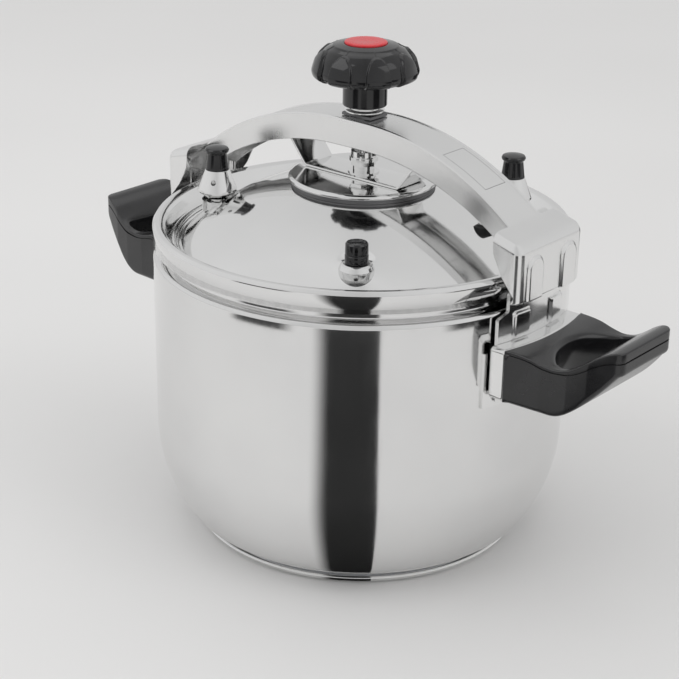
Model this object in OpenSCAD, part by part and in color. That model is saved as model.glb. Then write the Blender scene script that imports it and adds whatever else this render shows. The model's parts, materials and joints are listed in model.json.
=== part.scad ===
// Stovetop pressure cooker: pot with side handles, domed lid, arch beam with two claws,
// screw knob and two weight valves. Millimetres, +Z up, beam along X.
// Origin: centre of the underside of the base.

/* [Pot] */
// Outside diameter of the pot wall
pot_d = 242; // [236:1:246]
// Thickness of the pot wall
pot_wall = 1.8; // [1.5:0.1:2.2]
// Radius of the tight curve next to the flat base
corner_r = 26; // [24:1:30]
// Radius of the wide curve that leads up into the wall
flank_r = 90; // [84:1:96]
// Height at which the wall becomes straight
flank_z = 64; // [60:1:68]
// Height of the shoulder where the wall turns in under the lid
shoulder_z = 163; // [160:1:164]

/* [Base] */
// Radius of the heat-spreading base cap
cap_r = 98; // [94:1:99]
// Height of the base cap
cap_h = 5; // [4.5:0.5:6]

/* [Lid] */
// Height of the top of the lid ring above the floor
ring_top_z = 186.6; // [186:0.1:187]
// Thickness of the lid sheet
lid_t = 1.6; // [1.4:0.1:1.8]
// Radius of the central seat disc
seat_r = 43; // [40:1:44]

/* [Beam] */
// Width of the arch beam
beam_w = 29; // [28:0.5:30]
// Depth of the beam side flanges
beam_depth = 16; // [14:0.5:17]
// Height of the top of the beam at its middle
beam_top_z = 247.3; // [247:0.1:248]
// Sheet thickness of the beam and the claws
beam_t = 2; // [1.8:0.1:2]
// Width of each claw
claw_w = 60; // [58:1:61]

/* [Screw] */
// Outer diameter of the screw thread
screw_d = 9; // [8.5:0.1:9]
// Pitch of the screw thread
pitch = 3; // [2.5:0.5:3]
// Widest diameter of the knob
knob_d = 61; // [58:1:62]

/* [Handles] */
// Distance from the axis to the outer edge of each handle
handle_reach = 192.4; // [190:0.2:193]
// Diameter of the arc that bounds the finger opening on the pot side
grip_gap = 67; // [60:1:68]

/* [Valves] */
// Radius of the circle on which the weight valves stand
valve_r = 88; // [87:0.5:89]

/* [Hidden] */
$fn = 96;
pot_r = pot_d / 2;
floor_z = cap_h - 1.5;
flank_x = pot_r - flank_r;
corner_dz = flank_z - floor_z - corner_r;
corner_dx = sqrt(pow(flank_r - corner_r, 2) - corner_dz * corner_dz);
corner_x = flank_x + corner_dx;
join = [corner_dx, -corner_dz] / (flank_r - corner_r);
neck_r = 115;
rim_z = 177.4;
bead_r = 118.8;
ear_r = pot_r + 1.8;
ear_t = 2;
lip_z = 176.6;
lip_r = 128.3;
dome_r = 161;
dome_z = 213.1 - dome_r;
seat_z = 208.4;
seat_h = 4.6;
strap_z = seat_z + seat_h;
strap_t = 1.2;
beam_rho = 160;
beam_flat = 10;
sleeve_r = 133.3;
claw_x = 130.5;
claw_in = 115;
screw_r = screw_d / 2;
knob_z = 267.5;
stem_h = 14.3;
lobe_w = 14.5;
lobe_turn = 9.7;
valve_l = [-0.9012, -0.4334] * valve_r;
valve_r2 = [0.648, 0.7616] * valve_r;
pad_r = 10.3;
pad_h = 2.6;
port_turn = -60.7;
safety = [53.5, -69.5];
floatv = [75, 14];

// Height of the lid's outer face at a radius from the axis.
function dome_at(r) = dome_z + sqrt(dome_r * dome_r - r * r);
function r_of(p) = norm(p);

module revolve(points) {
    rotate_extrude($fn = 128) polygon(points);
}

// Plain cylinder on the axis between two heights.
module cylinder_between(r, z1, z2) {
    translate([0, 0, z1]) cylinder(r = r, h = z2 - z1);
}

// Ring of a plain tube between two radii and two heights.
module tube(r1, r2, z1, z2) {
    difference() {
        translate([0, 0, z1]) cylinder(r = r2, h = z2 - z1);
        translate([0, 0, z1 - 1]) cylinder(r = r1, h = z2 - z1 + 2);
    }
}

// Solid of revolution of the pot's outside, inset by a wall thickness.
module pot_solid(inset, z_top) {
    r = pot_r - inset;
    rotate_extrude($fn = 128) {
        polygon([[0, floor_z + inset], [corner_x, floor_z + inset],
                 [flank_x + (flank_r - inset) * join[0], flank_z + (flank_r - inset) * join[1]],
                 [r, flank_z], [r, shoulder_z], [0, shoulder_z]]);
        translate([corner_x, floor_z + corner_r]) circle(r = corner_r - inset);
        intersection() {
            translate([flank_x, flank_z]) circle(r = flank_r - inset);
            polygon([[flank_x, flank_z], [flank_x + 200, flank_z],
                     [flank_x + 200 * join[0], flank_z + 200 * join[1]]]);
        }
        polygon([[0, shoulder_z - 1], [r, shoulder_z - 1], [r, shoulder_z],
                 [r - 1, shoulder_z + 3], [r - 3.5, shoulder_z + 5.2],
                 [neck_r - inset, shoulder_z + 6.6], [neck_r - inset, z_top], [0, z_top]]);
    }
}

module pot_shell() {
    color("silver") {
        difference() {
            pot_solid(0, rim_z);
            pot_solid(pot_wall, rim_z + 1);
        }
        tube(neck_r - 0.4, bead_r, rim_z - 2.2, rim_z);
    }
}

module base_core() {
    color("gainsboro") translate([0, 0, 0.9]) cylinder(r = cap_r - 6, h = cap_h - 2.4, $fn = 128);
}

module base_cap() {
    color("silver") revolve([[0, 0], [cap_r - 3.5, 0], [cap_r - 1, 1.6], [cap_r, cap_h - 1.2],
        [cap_r - 1.2, cap_h], [cap_r - 2.2, cap_h - 1], [cap_r - 2.6, 2.8],
        [cap_r - 5.9, 2.8], [cap_r - 5.9, 0.9], [0, 0.9]]);
}

// Wedge that keeps the part of a ring within y = +-half on the +X side.
module side_slab(half, z1, z2) {
    translate([60, -half, z1]) cube([90, 2 * half, z2 - z1]);
}

module weld_pads() {
    color("silver") for (a = [0, 180]) rotate([0, 0, a]) intersection() {
        tube(pot_r, ear_r, 114, 146);
        side_slab(38, 113, 147);
    }
}

module ear_plate() {
    color("silver") difference() {
        union() {
            intersection() {
                tube(ear_r, ear_r + ear_t, 116, 166);
                side_slab(32, 115, 166);
            }
            intersection() {
                tube(ear_r, ear_r + ear_t, 166, lip_z + 2);
                side_slab(25, 165, lip_z + 2);
            }
            intersection() {
                tube(ear_r + 0.5, lip_r, lip_z, lip_z + 2);
                side_slab(24, lip_z, lip_z + 2);
            }
            for (s = [-1, 1]) intersection() {
                tube(ear_r + 0.5, ear_r + ear_t + 1.8, 152, 167.5);
                translate([110, s * 16 - 6, 152]) cube([30, 12, 15.5]);
            }
        }
        for (y = [-14, 14]) translate([100, y, 136]) rotate([0, 90, 0]) cylinder(r = 2.6, h = 60);
    }
}

module ear_plate_right() { ear_plate(); }
module ear_plate_left() { rotate([0, 0, 180]) ear_plate(); }

// Steel sleeve between the ear plate and the handle root, cut concentric with the pot.
module ferrule() {
    color("silver") difference() {
        intersection() {
            tube(ear_r + ear_t, sleeve_r, 121, 151);
            side_slab(36.5, 121, 151);
        }
        translate([110, -34.9, 122.6]) cube([40, 69.8, 26.8]);
    }
}

module ferrule_right() { ferrule(); }
module ferrule_left() { rotate([0, 0, 180]) ferrule(); }

// Handle outline in plan: straight sides that taper to a rounded outer edge.
module handle_plan() {
    w = grip_gap / 2;
    difference() {
        polygon([[120, -36.5], [150, -35], [165, -33], [176, -30.6], [184, -27.8],
            [handle_reach - 3, -25.4], [handle_reach - 0.8, -22], [handle_reach, -18],
            [handle_reach, 18], [handle_reach - 0.8, 22], [handle_reach - 3, 25.4],
            [184, 27.8], [176, 30.6], [165, 33], [150, 35], [120, 36.5]]);
        intersection() {
            translate([144 + w, 0]) circle(r = w);
            translate([140, -28]) square([30, 56]);
        }
    }
}

module handle() {
    color([0.1, 0.1, 0.1]) difference() {
        union() {
            difference() {
                intersection() {
                    translate([0, 0, 118]) linear_extrude(46) handle_plan();
                    translate([0, 80, 0]) rotate([90, 0, 0]) linear_extrude(160)
                        polygon([[120, 121], [150, 120.6], [158, 120.7], [163, 122.6], [168, 126],
                            [173, 130.2], [178, 135], [184, 142], [handle_reach - 3, 148.4],
                            [handle_reach, 152.5], [handle_reach, 160.5],
                            [handle_reach - 1.6, 162.8], [187, 163.4], [180, 159.4], [175, 155.4],
                            [170, 151.7], [165, 149], [158, 147.6], [150, 148.5], [143, 150.4],
                            [136, 151], [120, 151]]);
                }
                cylinder(r = sleeve_r, h = 300, $fn = 128);
            }
            intersection() {
                tube(ear_r + ear_t + 2.2, sleeve_r + 1, 122.7, 149.3);
                side_slab(34.8, 122, 150);
            }
        }
        for (y = [-14, 14]) translate([120, y, 136]) rotate([0, 90, 0]) {
            cylinder(r = 2.6, h = 40);
            translate([0, 0, 19]) cylinder(r = 5.2, h = 20);
        }
    }
}

module handle_right() { handle(); }
module handle_left() { rotate([0, 0, 180]) handle(); }

module handle_screws() {
    color("silver") for (y = [-14, 14]) translate([0, y, 136]) rotate([0, 90, 0]) {
        translate([0, 0, 122.3]) cylinder(r = 2.55, h = 16.7);
        difference() {
            translate([0, 0, 139]) cylinder(r = 4.8, h = 3.4);
            translate([-0.6, -6, 141.2]) cube([1.2, 12, 3]);
        }
    }
}

module handle_screws_right() { handle_screws(); }
module handle_screws_left() { rotate([0, 0, 180]) handle_screws(); }

// Side outline of the arch: two arcs and a short flat, lowered and inset.
module arch_side(drop, inset) {
    zc = beam_top_z - beam_rho - drop;
    difference() {
        union() {
            for (s = [-1, 1]) translate([s * beam_flat, zc]) circle(r = beam_rho - inset, $fn = 180);
            translate([-beam_flat, zc]) square([2 * beam_flat, beam_rho - inset]);
        }
        translate([-300, -300]) square([600, 300 + 140]);
    }
}

module arch_beam() {
    color("silver") difference() {
        intersection() {
            translate([0, beam_w / 2, 0]) rotate([90, 0, 0]) linear_extrude(beam_w)
                difference() { arch_side(0, 0); arch_side(beam_depth, 0); }
            translate([-126, -50, 193]) cube([252, 100, 60]);
        }
        translate([0, beam_w / 2 - beam_t, 0]) rotate([90, 0, 0])
            linear_extrude(beam_w - 2 * beam_t) arch_side(0, beam_t);
        translate([0, 0, 200]) cylinder(r = 9.5, h = 60);
    }
}

// Pressed claw: sloping top plate, ribbed outer wall, two cheeks, hook under the lip.
module claw() {
    w = claw_w / 2;
    color("silver") union() {
        difference() {
            intersection() {
                translate([0, w, 0]) rotate([90, 0, 0]) linear_extrude(claw_w)
                    polygon([[claw_in, 211.3], [129, 207.6], [claw_x, 205.6], [claw_x, 174.3],
                        [122, 174.3], [122, 188], [claw_in, 196]]);
                translate([0, 0, 160]) cylinder(r = 134, h = 60, $fn = 128);
            }
            translate([0, w - beam_t, 0]) rotate([90, 0, 0]) linear_extrude(claw_w - 2 * beam_t)
                polygon([[100, 213.2], [128.2, 205.8], [claw_x - beam_t, 204.6],
                    [claw_x - beam_t, 176.3], [100, 176.3]]);
            translate([0, w + 1, 0]) rotate([90, 0, 0]) linear_extrude(claw_w + 2)
                polygon([[100, 198], [claw_in + 1.2, 197], [117, 192], [119.6, 187.8],
                    [124.4, 182], [127.6, 178.2], [128.4, 176.3], [100, 176.3]]);
            translate([0, 0, 160]) cylinder(r = ear_r + ear_t + 0.7, h = 25, $fn = 128);
        }
        for (s = [-1, 1]) intersection() {
            translate([claw_x - 1, s * 15.5, 172]) cylinder(r = 7.5, h = 27);
            translate([claw_x - 0.5, -40, 174.3]) cube([2.5, 80, 28]);
        }
        for (s = [-1, 1]) translate([0, s * 11.9 + 0.6, 0]) rotate([90, 0, 0]) linear_extrude(1.2)
            polygon([[113, 204.6], [117, 202.6], [121, 198.9], [126, 193.2], [128.7, 190.5],
                [128.7, 184], [122.5, 184], [121.7, 193.2], [113, 193.2]]);
    }
}

module claw_right() { claw(); }
module claw_left() { rotate([0, 0, 180]) claw(); }

module thread_block() {
    color("dimgray") difference() {
        translate([-12, -12.4, 232.5]) cube([24, 24.8, beam_top_z - beam_t - 232.5]);
        translate([0, 0, 220]) cylinder(r = screw_r + 0.06, h = 40);
        tube(6.14, 30, beam_top_z - beam_t - 3, 260);
    }
}

// Dark plate on top of the beam, with a collar down through the beam's hole.
module block_collar() {
    color("dimgray") difference() {
        union() {
            translate([-13, -9.5, beam_top_z]) cube([26, 19, 1.5]);
            cylinder_between(9.4, beam_top_z - beam_t - 3, beam_top_z + 0.5);
        }
        cylinder_between(6.2, 200, 300);
    }
}

// Level pad pressed into the uphill side of the dome so a valve can sit straight.
module pad_room(p) {
    translate([p[0], p[1], dome_at(r_of(p)) + pad_h]) cylinder(r = pad_r, h = 20);
}

module pad(p) {
    t = lid_t;
    z = dome_at(r_of(p)) + pad_h;
    intersection() {
        translate([p[0], p[1], 0]) difference() {
            translate([0, 0, z - t]) cylinder(r = pad_r + t, h = 12);
            translate([0, 0, z]) cylinder(r = pad_r, h = 20);
        }
        translate([0, 0, dome_z]) sphere(r = dome_r, $fn = 180);
    }
}

// Lid sheet: skirt, rolled ring, gutter and dome.
module lid_shell() {
    t = lid_t;
    zt = ring_top_z;
    color("silver") difference() {
        union() {
            difference() {
                rotate_extrude($fn = 128) difference() {
                    union() {
                        polygon([[pot_r - t, 174.6], [pot_r, 174.6], [pot_r, zt - 3],
                            [pot_r - 0.9, zt - 0.9], [pot_r - 3, zt], [pot_r - 4.5, zt],
                            [114.6, zt - 1.2], [113.6, zt - 3.4], [112, 179.2], [111.3, 176.8],
                            [110.2, 175.3], [109, 175.1], [108, 176.2], [107, 178], [105.6, 177],
                            [107, 174.8], [108.8, 173.6], [110.8, 173.6], [112, 174.9],
                            [112.8, 177], [113.5, 179.2], [115.2, zt - 4], [116, zt - 2.4],
                            [117, zt - t], [pot_r - 3, zt - t], [pot_r - t, zt - 3.2]]);
                        intersection() {
                            difference() {
                                translate([0, dome_z]) circle(r = dome_r, $fn = 180);
                                translate([0, dome_z]) circle(r = dome_r - t, $fn = 180);
                            }
                            translate([0, 150]) square([106.8, 60]);
                        }
                    }
                    translate([-10, 150]) square([10, 80]);
                    translate([0, seat_z]) square([60, 20]);
                    translate([-200, -200]) square([600, 340]);
                }
                for (p = [valve_l, valve_r2, safety]) pad_room(p);
            }
            for (p = [valve_l, valve_r2, safety]) pad(p);
        }
        for (p = [valve_l, valve_r2]) translate([p[0], p[1], 150]) cylinder(r = 4, h = 60);
        translate([safety[0], safety[1], 150]) cylinder(r = 5, h = 60);
        translate([floatv[0], floatv[1], 150]) cylinder(r = 4, h = 60);
    }
    color("silver") translate([0, 0, seat_z - t]) cylinder(r = 39.4, h = t, $fn = 128);
}

module seat_disc() {
    color("silver") revolve([[0, seat_z], [39.5, seat_z], [41.4, seat_z - 0.6], [seat_r, seat_z - 1],
        [seat_r, seat_z + seat_h - 1], [seat_r - 1, seat_z + seat_h], [0, seat_z + seat_h]]);
}

module carrier_strap() {
    side = [[33, strap_z], [35, strap_z + 1], [47.4, 229.5], [47.4, 233], [45.4, 233],
            [45.4, 230], [33.8, strap_z + strap_t]];
    color("silver") difference() {
        translate([0, 12, 0]) rotate([90, 0, 0]) linear_extrude(24)
            polygon(concat(side, [for (i = [6:-1:0]) [-side[i][0], side[i][1]]]));
        translate([0, 0, strap_z - 1]) cylinder(r = 3, h = 10);
    }
}

// Stack that holds the foot of the screw: flange, neck, nut, ring and slotted crown.
module crown_collar() {
    z = strap_z + strap_t;
    color("silver") difference() {
        union() {
            cylinder_between(9, z, z + 0.8);
            cylinder_between(6.2, z, z + 12.6);
            translate([0, 0, z + 4.2]) cylinder(r = 7.6, h = 2.8, $fn = 6);
            cylinder_between(8.3, z + 7, z + 9.2);
            cylinder_between(7.3, z + 9.2, z + 12.6);
        }
        cylinder_between(5.4, z - 1, z + 2.7);
        cylinder_between(screw_r + 0.06, z, z + 30);
        for (a = [0, 60, 120]) rotate([0, 0, a]) translate([-10, -1.3, z + 10.2]) cube([20, 2.6, 4]);
    }
}

module sealing_gasket() {
    color([0.85, 0.85, 0.83]) revolve([[115.7, 177.8], [119, 177.8], [119.2, 179],
        [119.2, 182.6], [118, 184.5], [117.4, 184.5], [115.9, 182]]);
}

// Dome and pad below a valve piece, in that piece's own place.
module pad_under(p) {
    difference() {
        translate([-p[0], -p[1], dome_z - dome_at(r_of(p))]) sphere(r = dome_r, $fn = 180);
        translate([0, 0, pad_h]) cylinder(r = pad_r, h = 30);
    }
}

// Moves a valve piece to its place, standing on the dome.
module at_valve(p) {
    translate([p[0], p[1], dome_at(r_of(p))]) children();
}

module vent_pipe(p) {
    color("silver") at_valve(p) difference() {
        union() {
            translate([0, 0, -9]) cylinder(r = 3.9, h = 12.2);
            cylinder(r = 3.1, h = 15);
        }
        translate([0, 0, -10]) cylinder(r = 1.6, h = 30);
    }
}

module vent_pipe_left() { vent_pipe(valve_l); }
module vent_pipe_right() { vent_pipe(valve_r2); }

module pipe_nut(p) {
    color("silver") at_valve(p) difference() {
        translate([0, 0, -4.2]) cylinder(r = 9.2, h = 6.6);
        translate([0, 0, -10]) cylinder(r = 4, h = 20);
        pad_under(p);
    }
}

module pipe_nut_left() { pipe_nut(valve_l); }
module pipe_nut_right() { pipe_nut(valve_r2); }

module filter_cap(p) {
    color("silver") at_valve(p) difference() {
        translate([0, 0, -17]) cylinder(r = 7, h = 9.4);
        translate([0, 0, -15.4]) cylinder(r = 5.6, h = 5.8);
        translate([0, 0, -9.8]) cylinder(r = 3.9, h = 6);
        for (a = [0, 60, 120]) rotate([0, 0, a])
            translate([-10, -0.8, -14.8]) cube([20, 1.6, 3]);
    }
}

module filter_cap_left() { filter_cap(valve_l); }
module filter_cap_right() { filter_cap(valve_r2); }

module safety_valve_body() {
    color("silver") at_valve(safety) difference() {
        union() {
            translate([0, 0, -8]) cylinder(r = 4.9, h = 12);
            translate([0, 0, -4]) cylinder(r = 9.9, h = 7.6);
        }
        pad_under(safety);
        translate([0, 0, -9]) cylinder(r = 3, h = 20);
    }
    color("silver") at_valve(safety) tube(3, 4.9, -8, -1);
}

module safety_valve_cap() {
    color([0.1, 0.1, 0.1]) at_valve(safety) {
        difference() {
            translate([0, 0, 3.61]) cylinder(r = 6.4, h = 11.6);
            translate([0, 0, 2]) cylinder(r = 4.95, h = 5);
            translate([0, -10, 9]) rotate([-90, 0, 0]) cylinder(r = 0.8, h = 6);
        }
    }
}

module safety_valve_nut() {
    color("silver") at_valve(safety) difference() {
        translate([0, 0, -10.7]) cylinder(r = 7.5, h = 3.4, $fn = 6);
        translate([0, 0, -12]) cylinder(r = 4.9, h = 10);
    }
}

module float_bush() {
    color([0.1, 0.1, 0.1]) at_valve(floatv) difference() {
        union() {
            translate([0, 0, -3]) cylinder(r = 6, h = 4.8);
            translate([0, 0, -7]) cylinder(r = 3.9, h = 8);
        }
        difference() {
            translate([-floatv[0], -floatv[1], dome_z - dome_at(r_of(floatv))])
                sphere(r = dome_r, $fn = 180);
            translate([0, 0, -8]) cylinder(r = 3.9, h = 20);
        }
        translate([0, 0, -9]) cylinder(r = 2.2, h = 20);
    }
}

module float_nut() {
    color("silver") at_valve(floatv) difference() {
        translate([0, 0, -9]) cylinder(r = 6.5, h = 3.2, $fn = 6);
        translate([0, 0, -12]) cylinder(r = 3.9, h = 10);
    }
}

module float_pin() {
    color("silver") at_valve(floatv) {
        translate([0, 0, -12]) cylinder(r = 2.1, h = 14);
        translate([0, 0, 1.9]) cylinder(r = 3, h = 1.6);
        translate([0, 0, -15]) cylinder(r = 3.4, h = 1.6);
        translate([0, 0, -13.5]) cylinder(r = 1.2, h = 2);
    }
}

module float_seal() {
    color("dimgray") at_valve(floatv) tube(1.2, 3, -13.4, -12);
}

module weight(p) {
    color("silver") at_valve(p) difference() {
        rotate_extrude() polygon([[0, 3.6], [6.5, 3.6], [11.2, 7.4], [11.6, 8.2], [11.4, 9.2], [7, 20.6],
            [0, 20.6]]);
        translate([0, 0, 3]) cylinder(r = 3.2, h = 13);
        translate([0, 0, 14.6]) rotate([0, 90, port_turn]) cylinder(r = 1.2, h = 15);
    }
}

module weight_left() { weight(valve_l); }
module weight_right() { weight(valve_r2); }

module weight_cap(p) {
    color([0.1, 0.1, 0.1]) at_valve(p) rotate_extrude()
        polygon([[0, 20.6], [7, 20.6], [6.7, 21.8], [5.7, 30.2], [6.8, 31.3], [7.1, 32.4],
            [6.4, 33.6], [0, 34.4]]);
}

module weight_cap_left() { weight_cap(valve_l); }
module weight_cap_right() { weight_cap(valve_r2); }

// Screw spindle with ring thread; its foot turns in the crown collar.
module spindle() {
    z1 = strap_z + strap_t + 3.2;
    n = floor((beam_top_z + 2 - z1) / pitch);
    color("silver") {
        revolve(concat([[0, z1 - 2.4], [screw_r, z1 - 2.4]],
            [for (i = [0:n - 1]) for (k = [[0, 0], [1.7, 0], [2.1, -0.7], [2.6, -0.7]])
                [screw_r + k[1], z1 + i * pitch + k[0]]],
            [[screw_r, z1 + n * pitch], [5.6, z1 + n * pitch + 0.4], [5.6, knob_z - 9],
             [4, knob_z - 9], [4, knob_z + 16], [0, knob_z + 16]]));
    }
}

module spindle_foot() {
    color("silver") translate([0, 0, strap_z + strap_t + 0.05]) cylinder(r = 5.2, h = 0.7);
}

module knob_washer() {
    color("silver") difference() {
        union() {
            cylinder_between(11.3, beam_top_z + 2.5, beam_top_z + 3.5);
            cylinder_between(7.6, beam_top_z + 3, knob_z - stem_h);
        }
        cylinder_between(5.65, 200, 300);
    }
}

module knob() {
    kr = knob_d / 2;
    color([0.1, 0.1, 0.1]) difference() {
        union() {
            intersection() {
                translate([0, 0, knob_z]) linear_extrude(30) union() {
                    circle(r = kr - 2);
                    for (a = [0:45:135]) rotate(a + lobe_turn) square([2 * kr, lobe_w], center = true);
                }
                translate([0, 0, knob_z]) rotate_extrude() polygon([[0, 0], [kr - 7, 0], [kr - 2, 1],
                    [kr, 4], [kr, 7], [kr - 2, 13], [kr - 6, 17.5], [kr - 11, 19.8],
                    [13, 21], [0, 21]]);
            }
            translate([0, 0, knob_z - stem_h]) cylinder(r = 12.6, h = stem_h + 1);
        }
        translate([0, 0, knob_z + 19.5]) cylinder(r = 12.1, h = 5);
        translate([0, 0, knob_z - stem_h - 1]) cylinder(r = 5.65, h = stem_h - 7.95);
        translate([0, 0, knob_z - 10]) cylinder(r = 4.05, h = 40);
        translate([0, 0, knob_z + 8.5]) cylinder(r = 7.6, h = 20);
    }
}

module knob_insert() {
    color([0.75, 0.1, 0.12]) translate([0, 0, knob_z + 19.5]) cylinder(r = 12, h = 2.6);
}

module knob_nut() {
    color("silver") difference() {
        translate([0, 0, knob_z + 8.5]) cylinder(r = 7.2, h = 6, $fn = 6);
        translate([0, 0, knob_z + 7.5]) cylinder(r = 4, h = 10);
    }
}

pot_shell();
base_core();
base_cap();
weld_pads();
ear_plate_right();
ear_plate_left();
ferrule_right();
ferrule_left();
handle_right();
handle_left();
handle_screws_right();
handle_screws_left();
arch_beam();
claw_right();
claw_left();
thread_block();
block_collar();
lid_shell();
seat_disc();
carrier_strap();
crown_collar();
sealing_gasket();
vent_pipe_left();
vent_pipe_right();
pipe_nut_left();
pipe_nut_right();
filter_cap_left();
filter_cap_right();
safety_valve_body();
safety_valve_cap();
safety_valve_nut();
float_bush();
float_nut();
float_pin();
float_seal();
weight_left();
weight_right();
weight_cap_left();
weight_cap_right();
spindle();
spindle_foot();
knob_washer();
knob();
knob_insert();
knob_nut();
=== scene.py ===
import json
import math

import bmesh
import bpy
from mathutils import Matrix, Vector

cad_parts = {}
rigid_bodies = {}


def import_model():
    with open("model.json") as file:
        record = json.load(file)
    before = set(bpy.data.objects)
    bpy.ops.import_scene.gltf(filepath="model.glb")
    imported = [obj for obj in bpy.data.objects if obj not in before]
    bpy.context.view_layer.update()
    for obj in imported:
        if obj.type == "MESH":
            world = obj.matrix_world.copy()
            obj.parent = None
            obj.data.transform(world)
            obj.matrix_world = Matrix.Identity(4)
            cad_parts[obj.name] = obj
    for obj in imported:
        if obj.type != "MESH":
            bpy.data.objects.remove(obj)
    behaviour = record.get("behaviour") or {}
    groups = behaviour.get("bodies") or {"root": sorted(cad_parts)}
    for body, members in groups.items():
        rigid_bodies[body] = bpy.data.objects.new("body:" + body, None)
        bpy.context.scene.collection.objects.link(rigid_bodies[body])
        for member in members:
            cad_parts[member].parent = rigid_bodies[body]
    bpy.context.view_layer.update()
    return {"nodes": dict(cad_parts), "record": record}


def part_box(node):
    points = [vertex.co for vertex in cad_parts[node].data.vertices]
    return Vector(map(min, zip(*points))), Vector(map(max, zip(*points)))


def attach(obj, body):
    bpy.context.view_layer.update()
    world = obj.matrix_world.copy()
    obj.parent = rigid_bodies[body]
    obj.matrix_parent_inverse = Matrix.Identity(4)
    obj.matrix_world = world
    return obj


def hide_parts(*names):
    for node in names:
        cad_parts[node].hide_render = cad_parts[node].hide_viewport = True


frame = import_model()

MM = 0.001
TAU = 2.0 * math.pi


# ---------------------------------------------------------------- measures
def box_mm(node):
    """Lowest and highest corner of a CAD node in millimetres."""
    lo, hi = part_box(node)
    return [c / MM for c in lo], [c / MM for c in hi]


def radius_mm(node):
    lo, hi = box_mm(node)
    return (hi[0] - lo[0]) / 2.0


def centre_mm(node):
    lo, hi = box_mm(node)
    return (lo[0] + hi[0]) / 2.0, (lo[1] + hi[1]) / 2.0


def smooth01(a, b, v):
    t = min(1.0, max(0.0, (v - a) / (b - a)))
    return t * t * (3.0 - 2.0 * t)


def pieces(knots, x):
    """Piecewise linear value through (x, value) knots."""
    if x <= knots[0][0]:
        return knots[0][1]
    for (x0, v0), (x1, v1) in zip(knots, knots[1:]):
        if x <= x1:
            t = (x - x0) / (x1 - x0)
            return v0 + (v1 - v0) * t
    return knots[-1][1]


def soft_pieces(knots, x, half=2.5):
    """The same value averaged over a short span, so that the bends are round."""
    n = 7
    return sum(pieces(knots, x + half * (2.0 * i / (n - 1) - 1.0)) for i in range(n)) / n


# ---------------------------------------------------------------- mesh helpers
def linked(name, mesh):
    obj = bpy.data.objects.new(name, mesh)
    bpy.context.collection.objects.link(obj)
    return obj


def clean_normals(mesh, merge=None):
    """Joins points closer than merge, in mm, and turns all faces outwards."""
    bm = bmesh.new()
    bm.from_mesh(mesh)
    if merge:
        bmesh.ops.remove_doubles(bm, verts=bm.verts, dist=merge * MM)
    bmesh.ops.recalc_face_normals(bm, faces=bm.faces)
    bm.to_mesh(mesh)
    bm.free()


def add_piece(name, verts, faces, body, mat, replaces=()):
    """Smooth-shaded piece from points in mm; without a body it is finished later by finish_piece."""
    mesh = bpy.data.meshes.new(name)
    mesh.from_pydata([[c * MM for c in v] for v in verts], [], faces)
    clean_normals(mesh, 0.002)
    mesh.shade_smooth()
    obj = linked(name, mesh)
    mesh.materials.append(mat)
    if body:
        finish_piece(obj, body, replaces)
    return obj


def finish_piece(obj, body, replaces=()):
    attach(obj, body)
    if replaces:
        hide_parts(*replaces)


def grid_faces(rows, cols, start=0):
    """Quads of a grid of points stored row by row, with cols quads in each row."""
    n = cols + 1
    corners = [start + i * n + k for i in range(rows) for k in range(cols)]
    return [(a, a + 1, a + n + 1, a + n) for a in corners]


def between(p, q, parts):
    """Points from p up to, but without, q in equal steps."""
    return [(p[0] + (q[0] - p[0]) * k / parts, p[1] + (q[1] - p[1]) * k / parts) for k in range(parts)]


def fillet(points, radii, steps=6, closed=False):
    """Polyline with its corners rounded to the given radii."""
    out = []
    n = len(points)
    for i, p in enumerate(points):
        r = radii[i] if isinstance(radii, (list, tuple)) else radii
        if r <= 0 or (not closed and i in (0, n - 1)):
            out.append(tuple(p))
            continue
        a = Vector(points[i - 1]) - Vector(p)
        b = Vector(points[(i + 1) % n]) - Vector(p)
        la, lb = a.length, b.length
        if la < 1e-6 or lb < 1e-6:
            out.append(tuple(p))
            continue
        a, b = a / la, b / lb
        cosang = max(-1.0, min(1.0, a.dot(b)))
        half = math.acos(cosang) / 2.0
        if half > math.pi / 2 - 0.01:
            out.append(tuple(p))
            continue
        cut = min(r / math.tan(half), 0.48 * la, 0.48 * lb)
        r = cut * math.tan(half)
        mid = (a + b).normalized()
        centre = Vector(p) + mid * (r / math.sin(half))
        start = Vector(p) + a * cut
        end = Vector(p) + b * cut
        u, v = start - centre, end - centre
        ang = u.angle(v)
        for k in range(steps + 1):
            t = k / steps
            s = math.sin(ang)
            w = (u * math.sin((1 - t) * ang) + v * math.sin(t * ang)) / s if s > 1e-6 else u.lerp(v, t)
            out.append(tuple(centre + w))
    return out


def arc(cx, cz, r, a0, a1, n):
    """Points of an arc from angle a0 to a1, in degrees."""
    return [(cx + r * math.cos(math.radians(a0 + (a1 - a0) * i / n)),
             cz + r * math.sin(math.radians(a0 + (a1 - a0) * i / n))) for i in range(n + 1)]


def ring_faces(rings, closed=False):
    """Faces between rows of point numbers; a row of one point is a pole on the axis."""
    faces = []
    pairs = list(zip(rings, rings[1:]))
    if closed:
        pairs.append((rings[-1], rings[0]))
    for a, b in pairs:
        n = max(len(a), len(b))
        for k in range(n if n > 1 else 0):
            m = (k + 1) % n
            if len(a) == 1:
                faces.append((a[0], b[k], b[m]))
            elif len(b) == 1:
                faces.append((a[k], b[0], a[m]))
            else:
                faces.append((a[k], b[k], b[m], a[m]))
    return faces


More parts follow.
